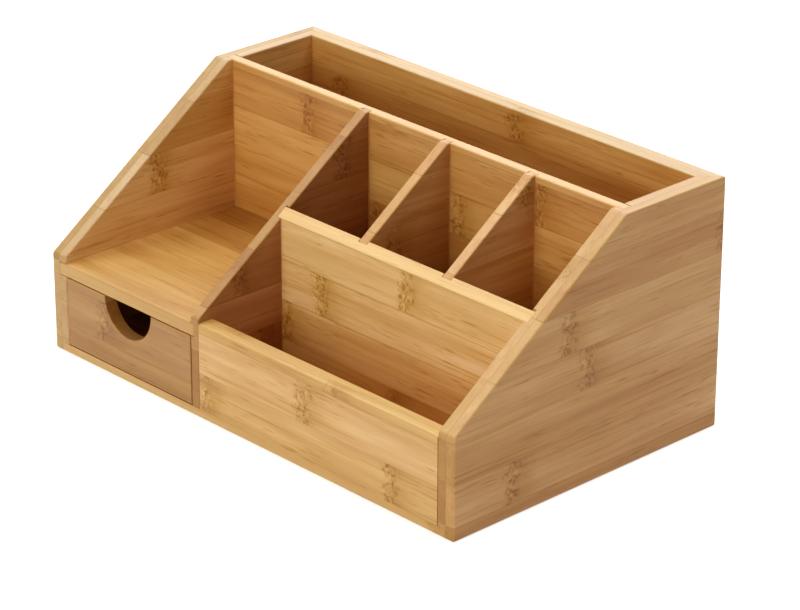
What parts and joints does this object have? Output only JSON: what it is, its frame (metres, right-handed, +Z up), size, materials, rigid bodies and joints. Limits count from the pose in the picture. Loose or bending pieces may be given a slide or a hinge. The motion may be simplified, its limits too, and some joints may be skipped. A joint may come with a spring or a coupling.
{
  "type": "desk organizer",
  "caption": "Open-topped bamboo desk organizer with sloping sides: letter slot, small compartments, front tray, an open bay and a drawer below it.",
  "frame": {"origin": "on the surface it stands on, in the middle of the case's width and depth", "axes": "+X to the right seen from the drawer's side, +Y from the front to the back, +Z up"},
  "size_m": [0.245, 0.15, 0.11],
  "materials": {
    "case_bamboo": "satin lacquered bamboo board, grain along its length",
    "wall_bamboo": "satin lacquered bamboo board, thin inner walls",
    "drawer_bamboo": "satin lacquered bamboo board, slightly darker"
  },
  "bodies": {
    "case": {"left_side": "case_bamboo", "right_side": "case_bamboo", "back_panel": "case_bamboo", "base_board": "case_bamboo", "slot_wall": "wall_bamboo", "centre_partition": "wall_bamboo", "cross_wall": "wall_bamboo", "divider_1": "wall_bamboo", "divider_2": "wall_bamboo", "drawer_shelf": "case_bamboo", "front_board": "case_bamboo"},
    "drawer": {"drawer_front": "drawer_bamboo", "drawer_left_side": "drawer_bamboo", "drawer_right_side": "drawer_bamboo", "drawer_back": "drawer_bamboo", "drawer_bottom": "drawer_bamboo"}
  },
  "joints": [
    {"name": "drawer_slide", "type": "slide", "parent": "case", "child": "drawer", "axis": [0, -1, 0], "range_m": [0, 0.073]}
  ]
}
